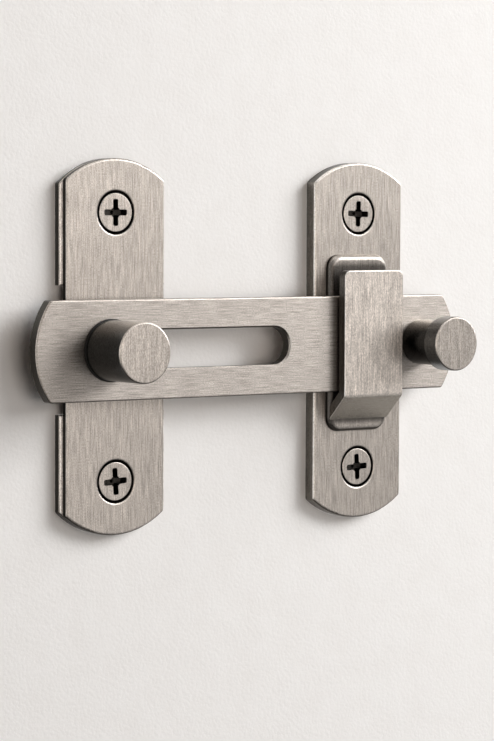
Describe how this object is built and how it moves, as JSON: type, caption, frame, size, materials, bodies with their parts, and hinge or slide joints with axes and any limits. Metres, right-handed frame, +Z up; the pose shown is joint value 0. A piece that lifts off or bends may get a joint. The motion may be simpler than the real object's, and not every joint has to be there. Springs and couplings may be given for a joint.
{
  "type": "flip-bar door latch",
  "caption": "Flip-bar door latch: a slotted steel bar with a round handle swings and slides on a post and drops into an open-topped hook on a keeper plate.",
  "frame": {"origin": "on the wall plane, in the middle of the four mounting screws", "axes": "+X along the bar from the post to the handle, +Y into the wall, +Z up"},
  "size_m": [0.113, 0.0418, 0.0806],
  "materials": {
    "plate_steel": "brushed upright, satin",
    "bar_steel": "brushed lengthwise, satin",
    "knob_steel": "turned, with a brushed face",
    "hook_steel": "brushed upright, satin",
    "screw_steel": "bright, lightly brushed",
    "inner_steel": "plain turned",
    "bush_plastic": "black acetal, matt"
  },
  "bodies": {
    "mounted_sides": {"pivot_backing_plate": "plate_steel", "pivot_cover_plate": "plate_steel", "pivot_sleeve": "inner_steel", "pivot_screw": "inner_steel", "pivot_knob": "knob_steel", "rear_spacer": "bush_plastic", "front_washer": "bush_plastic", "pivot_side_screws": "screw_steel", "keeper_plate": "plate_steel", "hook_pad": "hook_steel", "hook_strap": "hook_steel", "hook_rivets": "inner_steel", "keeper_side_screws": "screw_steel"},
    "slide_bush": {"slot_bush": "bush_plastic"},
    "swing_bar": {"latch_bar": "bar_steel", "handle_knob": "knob_steel", "handle_screw": "inner_steel"}
  },
  "joints": [
    {"name": "bar_swing", "type": "hinge", "parent": "mounted_sides", "child": "slide_bush", "pos_m": [-0.037, -0.00625, -0.0004], "axis": [0, -1, 0], "range_deg": [0, 330]},
    {"name": "bar_slide", "type": "slide", "parent": "slide_bush", "child": "swing_bar", "axis": [1, 0, 0], "range_m": [-0.0015, 0]}
  ]
}
